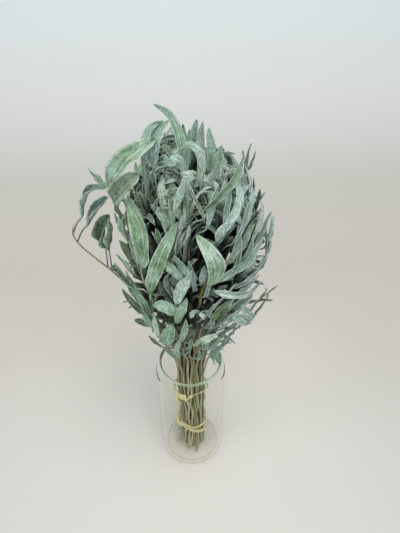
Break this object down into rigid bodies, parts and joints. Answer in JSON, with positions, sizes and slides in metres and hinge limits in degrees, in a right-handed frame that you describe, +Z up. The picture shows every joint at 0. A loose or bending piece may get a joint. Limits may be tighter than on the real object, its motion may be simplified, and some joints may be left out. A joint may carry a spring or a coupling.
{
  "type": "dried sage bunch in a glass vase",
  "caption": "Dried bunch of garden sage, tied with raffia and standing upright in a clear glass vase with rounded shoulders.",
  "frame": {"origin": "centre of the vase's flat underside, on the surface it stands on", "axes": "+Z up along the vase's axis and the bunch, -Y towards the front of the bunch, +X to the right seen from the front, the drooping side sprig towards -X"},
  "size_m": [0.1858, 0.1447, 0.4428],
  "materials": {
    "clear_glass": "clear, smooth, faint green tint in the rim bead and the base",
    "dried_sage": "matt and finely felted: grey-green dried leaves on tan to olive square stems",
    "raffia": "dry straw-coloured fibre, matt with a slight sheen along the strand"
  },
  "bodies": {
    "root": {"cut_stem": "dried_sage", "drooping_sprig": "dried_sage", "glass_vase": "clear_glass", "low_right_sprig": "dried_sage", "raffia_tie": "raffia", "shrivelled_sprig": "dried_sage", "sprig_01": "dried_sage", "sprig_02": "dried_sage", "sprig_03": "dried_sage", "sprig_04": "dried_sage", "sprig_05": "dried_sage", "sprig_06": "dried_sage", "sprig_07": "dried_sage", "sprig_08": "dried_sage", "sprig_09": "dried_sage", "sprig_10": "dried_sage", "sprig_11": "dried_sage", "sprig_12": "dried_sage", "sprig_13": "dried_sage", "sprig_14": "dried_sage", "sprig_15": "dried_sage", "sprig_16": "dried_sage", "sprig_17": "dried_sage", "sprig_18": "dried_sage", "sprig_19": "dried_sage", "sprig_20": "dried_sage", "sprig_21": "dried_sage", "sprig_22": "dried_sage", "sprig_23": "dried_sage", "sprig_24": "dried_sage", "sprig_25": "dried_sage", "sprig_26": "dried_sage", "sprig_27": "dried_sage", "sprig_28": "dried_sage", "sprig_29": "dried_sage", "sprig_30": "dried_sage", "sprig_31": "dried_sage", "sprig_32": "dried_sage", "sprig_33": "dried_sage", "sprig_34": "dried_sage", "sprig_35": "dried_sage", "sprig_36": "dried_sage", "sprig_37": "dried_sage", "sprig_38": "dried_sage", "sprig_39": "dried_sage", "sprig_40": "dried_sage", "sprig_41": "dried_sage", "sprig_42": "dried_sage", "sprig_43": "dried_sage", "sprig_44": "dried_sage", "sprig_45": "dried_sage", "tall_left_sprig": "dried_sage"}
  },
  "joints": []
}
